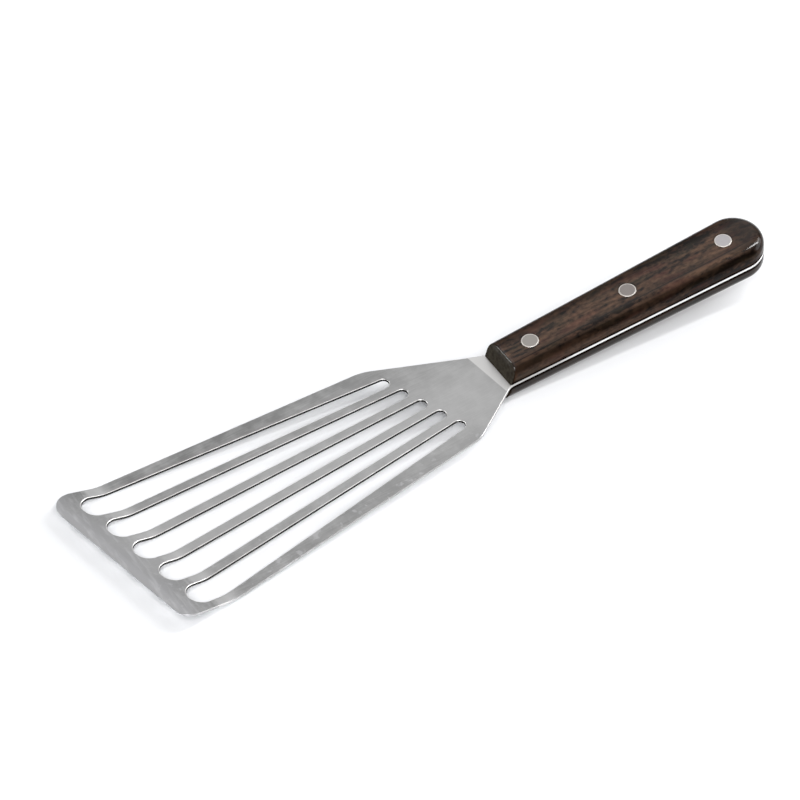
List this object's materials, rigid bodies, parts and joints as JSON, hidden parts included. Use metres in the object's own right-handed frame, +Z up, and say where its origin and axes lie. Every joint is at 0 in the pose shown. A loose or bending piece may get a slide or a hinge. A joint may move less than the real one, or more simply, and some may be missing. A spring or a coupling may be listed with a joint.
{
  "type": "kitchen spatula",
  "caption": "Slotted kitchen spatula: a stamped steel sheet is blade and full tang, with an upturned skewed tip and riveted wooden handle scales.",
  "frame": {"origin": "middle of the bounding box, on the table that the tool rests on", "axes": "+X from the tip towards the butt, +Y to the left of someone holding the handle, +Z up from the table"},
  "size_m": [0.2994, 0.0784, 0.0272],
  "materials": {
    "sheet_steel": "satin, brushed along the tool",
    "handle_wood": "dark, oiled, smooth",
    "rivet_steel": "ground flush, satin"
  },
  "bodies": {
    "root": {"blade_and_tang": "sheet_steel", "upper_scale": "handle_wood", "lower_scale": "handle_wood", "front_rivet_pin": "rivet_steel", "front_rivet_socket": "rivet_steel", "middle_rivet_pin": "rivet_steel", "middle_rivet_socket": "rivet_steel", "rear_rivet_pin": "rivet_steel", "rear_rivet_socket": "rivet_steel"}
  },
  "joints": []
}
